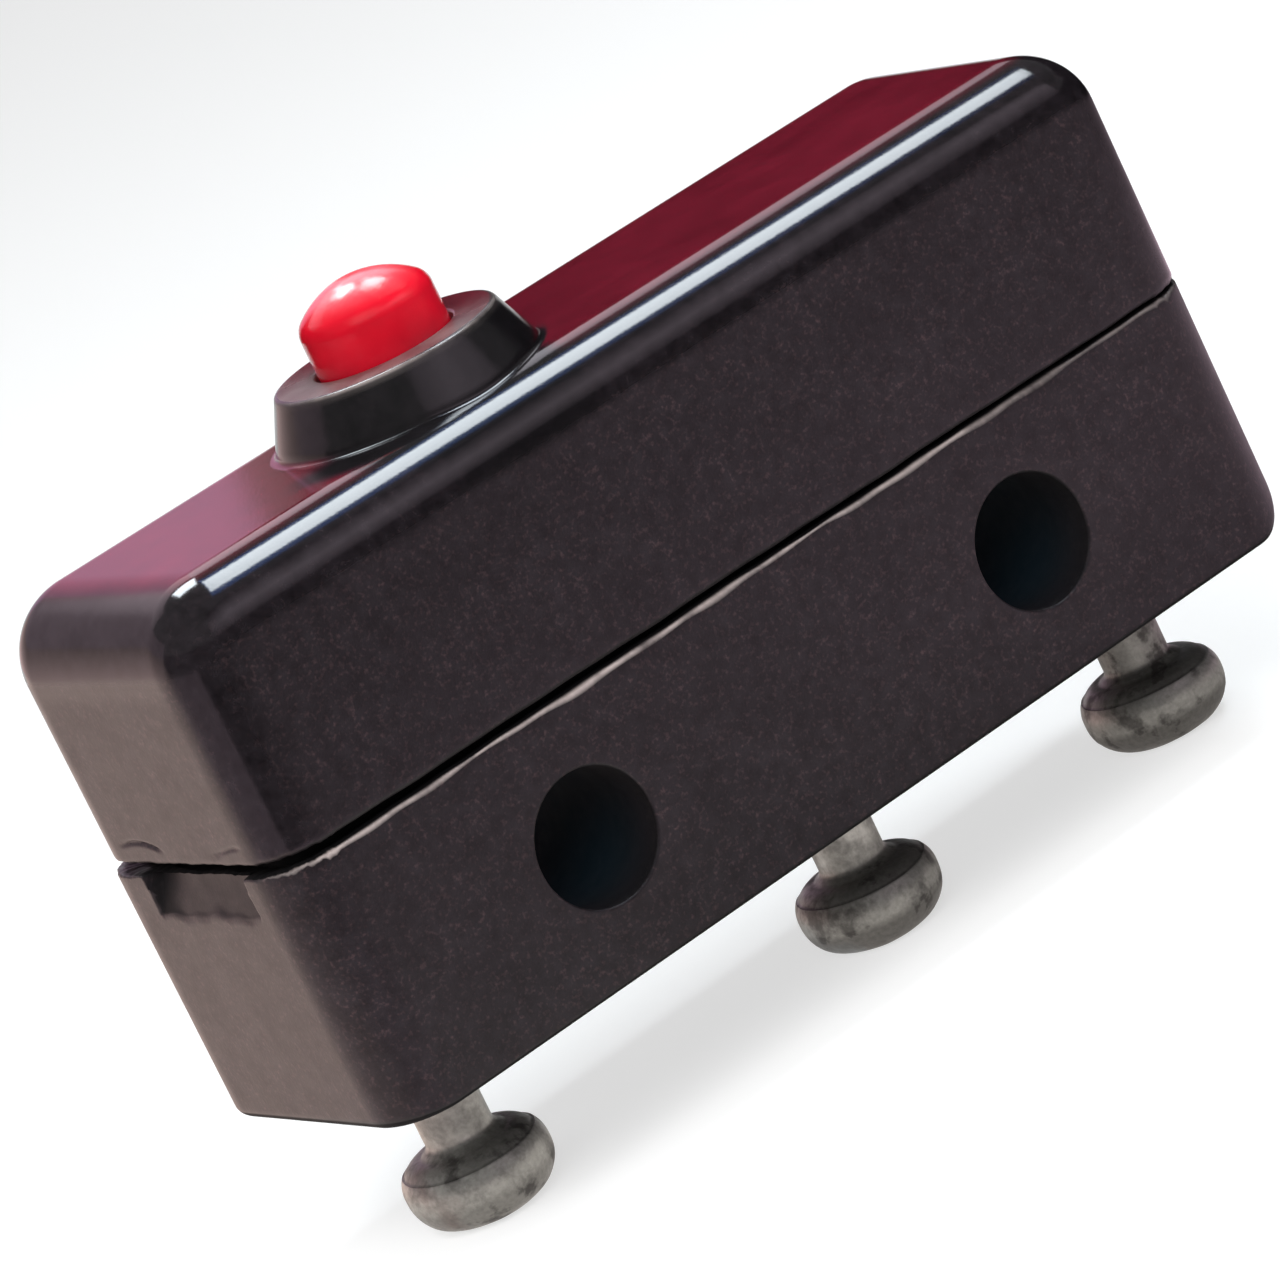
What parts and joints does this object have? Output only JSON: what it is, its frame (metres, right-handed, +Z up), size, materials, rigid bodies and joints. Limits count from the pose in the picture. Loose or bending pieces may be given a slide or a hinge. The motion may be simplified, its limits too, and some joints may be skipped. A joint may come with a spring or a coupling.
{
  "type": "pin plunger micro switch",
  "caption": "Small snap-action switch: a split moulded case with cross holes, a domed push pin in a boss on top and turned solder posts underneath.",
  "frame": {"origin": "midway between the two mounting holes, on the middle plane of the case's thickness", "axes": "+X along the case away from the plunger end, +Y through the thickness from front to back, +Z up along the plunger"},
  "size_m": [0.0198, 0.0062, 0.0141],
  "materials": {
    "case": "dark plum-brown phenolic moulding, finely mottled, glossy on its rounded edges and top",
    "plunger": "bright red moulded plastic, polished by use",
    "terminal": "turned brass with a dull grey tarnished tin plate",
    "contact_strip": "stamped or turned brass, bare",
    "blade": "rolled copper alloy spring strip",
    "contact": "silver alloy rivet"
  },
  "bodies": {
    "case": {"base_housing": "case", "cover_housing": "case", "common_terminal": "terminal", "normally_open_terminal": "terminal", "normally_closed_terminal": "terminal", "anchor_bracket": "contact_strip", "spring_spacer": "contact_strip", "clamp_washer": "contact_strip", "normally_open_strip": "contact_strip", "normally_open_contact": "contact", "normally_closed_bracket": "contact_strip", "normally_closed_contact": "contact"},
    "plunger": {"plunger": "plunger"},
    "contact_arm": {"snap_spring": "blade", "moving_contact": "contact"}
  },
  "joints": [
    {"name": "plunger_press", "type": "slide", "parent": "case", "child": "plunger", "axis": [0, 0, -1], "range_m": [0, 0.00064], "stiffness_N_per_m": 2600},
    {"name": "contact_swing", "type": "hinge", "parent": "case", "child": "contact_arm", "pos_m": [-0.0067, 0, 0.00275], "axis": [0, 1, 0], "range_deg": [0, 1.26], "deforming": ["snap_spring"]}
  ],
  "couplings": [
    {"joint": "contact_swing", "follows": "plunger_press", "rad_per_m": 34.3}
  ]
}
